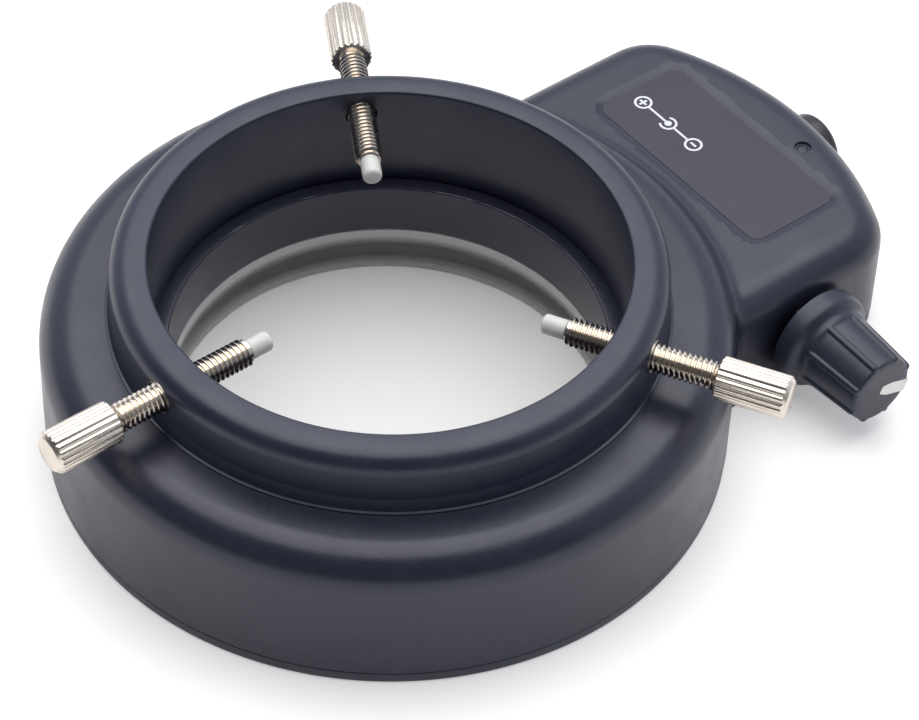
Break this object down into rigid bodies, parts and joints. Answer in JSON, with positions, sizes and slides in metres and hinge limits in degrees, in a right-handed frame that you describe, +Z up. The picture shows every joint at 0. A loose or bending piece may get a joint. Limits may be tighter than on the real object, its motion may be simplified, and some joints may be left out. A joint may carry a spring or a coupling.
{
  "type": "microscope ring light",
  "caption": "Ring lamp that clamps round the lower end of a stereo microscope with thumbscrews; a control box on one side carries the dimmer knob and power socket.",
  "frame": {"origin": "centre of the object's bounding box, on the plane that its bottom cover rests on", "axes": "+Z up along the ring's axis, out of the collar; +X from the ring's axis towards the control box; the dimmer knob faces -Y"},
  "size_m": [0.1282, 0.094, 0.0305],
  "materials": {
    "housing_grey": "satin charcoal moulding",
    "cover_grey": "satin charcoal moulding",
    "clear_window": "clear moulded plastic",
    "lamp_board": "solder mask with clear domed lamps",
    "label_grey": "smooth film",
    "nickel": "nickel plate",
    "insert_brass": "turned",
    "nylon": "natural nylon",
    "knob_black": "satin black moulding",
    "pointer_white": "smooth white",
    "pot_metal": "plated",
    "socket_black": "moulded",
    "board_green": "solder mask",
    "coil_copper": "enamelled winding",
    "chip_black": "moulded",
    "screw_steel": "plated"
  },
  "bodies": {
    "housing": {"upper_housing": "housing_grey", "mounting_collar": "housing_grey", "bottom_cover": "cover_grey", "led_window": "clear_window", "led_board": "lamp_board", "label_plate": "label_grey", "threaded_insert_1": "insert_brass", "threaded_insert_2": "insert_brass", "threaded_insert_3": "insert_brass", "potentiometer_body": "pot_metal", "potentiometer_nut": "pot_metal", "power_socket": "socket_black", "socket_pin": "nickel", "socket_nut": "pot_metal", "driver_board": "board_green", "driver_coil": "coil_copper", "driver_capacitor": "socket_black", "driver_chip": "chip_black", "housing_screw_1": "screw_steel", "housing_screw_2": "screw_steel", "housing_screw_3": "screw_steel", "housing_screw_4": "screw_steel", "housing_screw_5": "screw_steel"},
    "clamp_tip_1": {"nylon_tip_1": "nylon"},
    "clamp_screw_1": {"thumbscrew_1": "nickel"},
    "clamp_tip_2": {"nylon_tip_2": "nylon"},
    "clamp_screw_2": {"thumbscrew_2": "nickel"},
    "clamp_tip_3": {"nylon_tip_3": "nylon"},
    "clamp_screw_3": {"thumbscrew_3": "nickel"},
    "dimmer": {"knob": "knob_black", "knob_pointer": "pointer_white", "potentiometer_shaft": "pot_metal"}
  },
  "joints": [
    {"name": "clamp_travel_1", "type": "slide", "parent": "housing", "child": "clamp_tip_1", "axis": [-0.5, 0.866, 0], "range_m": [-0.01, 0.0082]},
    {"name": "clamp_turn_1", "type": "hinge", "parent": "clamp_tip_1", "child": "clamp_screw_1", "pos_m": [0.00708, -0.03146, 0.02665], "axis": [-0.5, 0.866, 0], "range_deg": [-5195, 4260]},
    {"name": "clamp_travel_2", "type": "slide", "parent": "housing", "child": "clamp_tip_2", "axis": [-0.5, -0.866, 0], "range_m": [-0.0125, 0.0057]},
    {"name": "clamp_turn_2", "type": "hinge", "parent": "clamp_tip_2", "child": "clamp_screw_2", "pos_m": [0.0058, 0.03146, 0.02665], "axis": [-0.5, -0.866, 0], "range_deg": [-6493, 2961]},
    {"name": "clamp_travel_3", "type": "slide", "parent": "housing", "child": "clamp_tip_3", "axis": [1, 0, 0], "range_m": [-0.0118, 0.0064]},
    {"name": "clamp_turn_3", "type": "hinge", "parent": "clamp_tip_3", "child": "clamp_screw_3", "pos_m": [-0.04747, 0.0011, 0.02665], "axis": [1, 0, 0], "range_deg": [-6130, 3325]},
    {"name": "dimmer_turn", "type": "hinge", "parent": "housing", "child": "dimmer", "pos_m": [0.03868, -0.0266, 0.0087], "axis": [0, 1, 0], "range_deg": [-260, 40]}
  ],
  "couplings": [
    {"joint": "clamp_turn_1", "follows": "clamp_travel_1", "rad_per_m": 8976},
    {"joint": "clamp_turn_2", "follows": "clamp_travel_2", "rad_per_m": 8976},
    {"joint": "clamp_turn_3", "follows": "clamp_travel_3", "rad_per_m": 8976}
  ]
}
